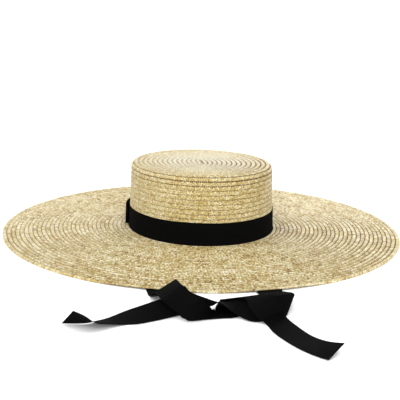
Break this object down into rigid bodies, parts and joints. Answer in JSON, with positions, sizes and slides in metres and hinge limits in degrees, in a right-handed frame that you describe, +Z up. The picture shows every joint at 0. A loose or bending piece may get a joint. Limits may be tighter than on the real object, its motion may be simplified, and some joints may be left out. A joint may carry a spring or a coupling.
{
  "type": "straw hat",
  "caption": "Wide-brimmed straw boater with a flat oval crown, a dark ribbon band and two long ribbon ties half-knotted in front.",
  "frame": {"origin": "on the crown's axis, at the surface the brim rests on", "axes": "+Z up through the crown, +Y to the back of the hat, -Y to the front where the ties lie, +X to the right in the front view"},
  "size_m": [0.4888, 0.6823, 0.0838],
  "materials": {
    "straw": "natural sewn straw braid, satin",
    "ribbon": "ribbed grosgrain, matte"
  },
  "bodies": {
    "root": {"crown": "straw", "brim": "straw", "hat_band": "ribbon", "band_lap": "ribbon", "tie_left": "ribbon", "tie_right": "ribbon"}
  },
  "joints": []
}
